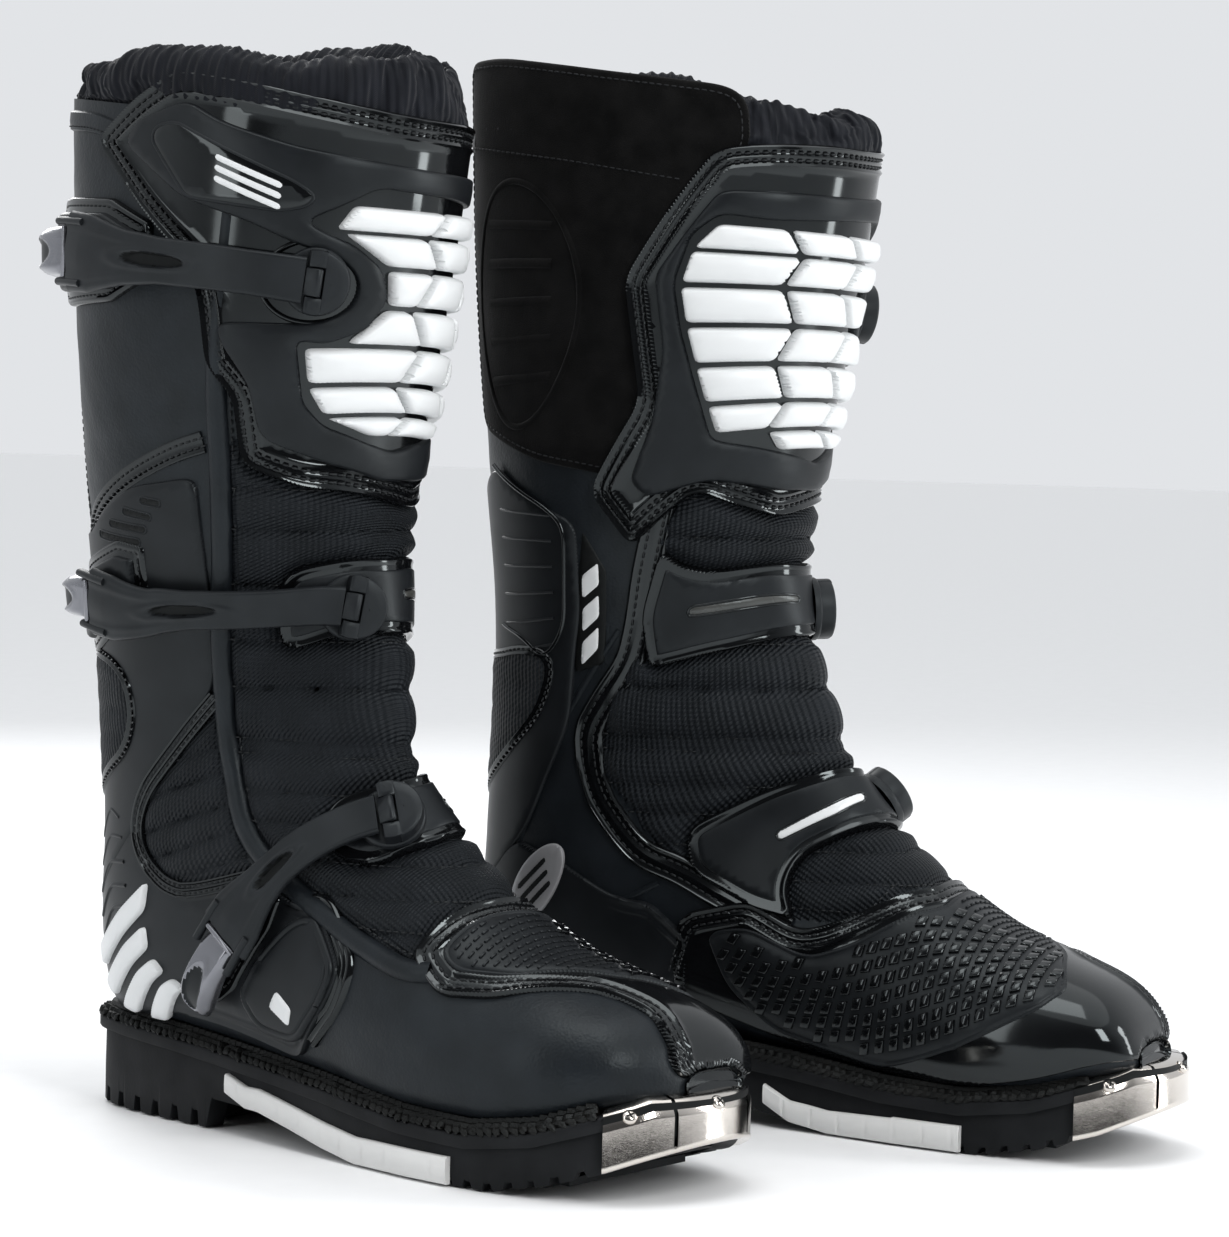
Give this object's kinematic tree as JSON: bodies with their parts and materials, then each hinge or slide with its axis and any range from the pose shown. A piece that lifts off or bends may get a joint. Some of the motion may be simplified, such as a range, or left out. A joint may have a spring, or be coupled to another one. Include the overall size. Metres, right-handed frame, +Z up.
{
  "type": "riding boots",
  "caption": "Pair of motocross riding boots with buckled straps, moulded shin plates, lugged soles and steel toe guards, standing upright.",
  "frame": {"origin": "middle of the bounding box of the pair, on the floor that the soles stand on", "axes": "+Z up the legs; the toes point towards -Y, turned out by 5.5 degrees each; the right boot stands at -X"},
  "size_m": [0.3018, 0.4266, 0.4291],
  "materials": {
    "leather": "grained, satin",
    "lining": "knitted mesh",
    "elastic": "ribbed elastic cloth",
    "rubber": "matte",
    "spring_steel": "plain",
    "foam": "moulded foam with cloth face",
    "white_rubber": "matte",
    "polished_steel": "polished",
    "tpu": "moulded, gloss and satin",
    "suede": "suede nap",
    "white_tpu": "satin",
    "strap": "satin",
    "silver": "silver satin"
  },
  "bodies": {
    "root": {"left_anchor_disc_top": "tpu", "left_anchor_plate_low": "tpu", "left_anchor_plate_mid": "tpu", "left_buckle_base_low": "tpu", "left_buckle_base_mid": "tpu", "left_buckle_base_top": "tpu", "left_burn_guard": "suede", "left_foot_panel_medial": "tpu", "left_foot_upper": "leather", "left_footbed": "foam", "left_gaiter": "elastic", "left_heel_counter": "tpu", "left_inner_liner": "lining", "left_leg_shaft": "leather", "left_midsole": "rubber", "left_outsole": "rubber", "left_rear_guard": "tpu", "left_shank": "spring_steel", "left_shin_pads": "white_tpu", "left_shin_plate": "tpu", "left_sole_insert_lateral": "white_rubber", "left_sole_insert_medial": "white_rubber", "left_toe_cover": "tpu", "left_toe_guard": "polished_steel", "right_anchor_disc_top": "tpu", "right_anchor_plate_low": "tpu", "right_anchor_plate_mid": "tpu", "right_buckle_base_low": "tpu", "right_buckle_base_mid": "tpu", "right_buckle_base_top": "tpu", "right_burn_guard": "suede", "right_foot_panel_medial": "tpu", "right_foot_upper": "leather", "right_footbed": "foam", "right_gaiter": "elastic", "right_heel_counter": "tpu", "right_inner_liner": "lining", "right_leg_shaft": "leather", "right_midsole": "rubber", "right_outsole": "rubber", "right_rear_guard": "tpu", "right_shank": "spring_steel", "right_shin_pads": "white_tpu", "right_shin_plate": "tpu", "right_sole_insert_lateral": "white_rubber", "right_sole_insert_medial": "white_rubber", "right_toe_cover": "tpu", "right_toe_guard": "polished_steel"},
    "right_strap_top": {"right_strap_top": "strap"},
    "right_lever_top": {"right_lever_top": "silver"},
    "right_strap_mid": {"right_strap_mid": "strap"},
    "right_lever_mid": {"right_lever_mid": "silver"},
    "right_strap_low": {"right_strap_low": "strap"},
    "right_lever_low": {"right_lever_low": "silver"},
    "left_strap_top": {"left_strap_top": "strap"},
    "left_lever_top": {"left_lever_top": "silver"},
    "left_strap_mid": {"left_strap_mid": "strap"},
    "left_lever_mid": {"left_lever_mid": "silver"},
    "left_strap_low": {"left_strap_low": "strap"},
    "left_lever_low": {"left_lever_low": "silver"}
  },
  "joints": [
    {"name": "right_strap_top_hinge", "type": "hinge", "parent": "root", "child": "right_strap_top", "pos_m": [-0.13017, 0.05772, 0.33816], "axis": [-0.0045, -0.1632, 0.9866], "range_deg": [0, 90]},
    {"name": "right_lever_top_hinge", "type": "hinge", "parent": "right_strap_top", "child": "right_lever_top", "pos_m": [-0.13893, 0.17848, 0.35056], "axis": [-0.0475, -0.0554, 0.9973], "range_deg": [0, 110]},
    {"name": "right_strap_mid_hinge", "type": "hinge", "parent": "root", "child": "right_strap_mid", "pos_m": [-0.10157, 0.05646, 0.21243], "axis": [0.1601, -0.0874, 0.9832], "range_deg": [0, 90]},
    {"name": "right_lever_mid_hinge", "type": "hinge", "parent": "right_strap_mid", "child": "right_lever_mid", "pos_m": [-0.12784, 0.17223, 0.21051], "axis": [-0.2024, -0.0958, 0.9746], "range_deg": [0, 110]},
    {"name": "right_strap_low_hinge", "type": "hinge", "parent": "root", "child": "right_strap_low", "pos_m": [-0.11286, 0.02926, 0.13569], "axis": [0.3508, 0.4704, 0.8097], "range_deg": [0, 90]},
    {"name": "right_lever_low_hinge", "type": "hinge", "parent": "right_strap_low", "child": "right_lever_low", "pos_m": [-0.13279, 0.09577, 0.08034], "axis": [0.1465, 0.802, 0.5791], "range_deg": [0, 110]},
    {"name": "left_strap_top_hinge", "type": "hinge", "parent": "root", "child": "left_strap_top", "pos_m": [0.13017, -0.04048, 0.33816], "axis": [-0.0045, 0.1632, -0.9866], "range_deg": [0, 90]},
    {"name": "left_lever_top_hinge", "type": "hinge", "parent": "left_strap_top", "child": "left_lever_top", "pos_m": [0.13893, 0.08028, 0.35056], "axis": [-0.0475, 0.0554, -0.9973], "range_deg": [0, 110]},
    {"name": "left_strap_mid_hinge", "type": "hinge", "parent": "root", "child": "left_strap_mid", "pos_m": [0.10157, -0.04174, 0.21243], "axis": [0.1601, 0.0874, -0.9832], "range_deg": [0, 90]},
    {"name": "left_lever_mid_hinge", "type": "hinge", "parent": "left_strap_mid", "child": "left_lever_mid", "pos_m": [0.12784, 0.07403, 0.21051], "axis": [-0.2024, 0.0958, -0.9746], "range_deg": [0, 110]},
    {"name": "left_strap_low_hinge", "type": "hinge", "parent": "root", "child": "left_strap_low", "pos_m": [0.11286, -0.06894, 0.13569], "axis": [0.3508, -0.4704, -0.8097], "range_deg": [0, 90]},
    {"name": "left_lever_low_hinge", "type": "hinge", "parent": "left_strap_low", "child": "left_lever_low", "pos_m": [0.13279, -0.00244, 0.08034], "axis": [0.1465, -0.802, -0.5791], "range_deg": [0, 110]}
  ]
}
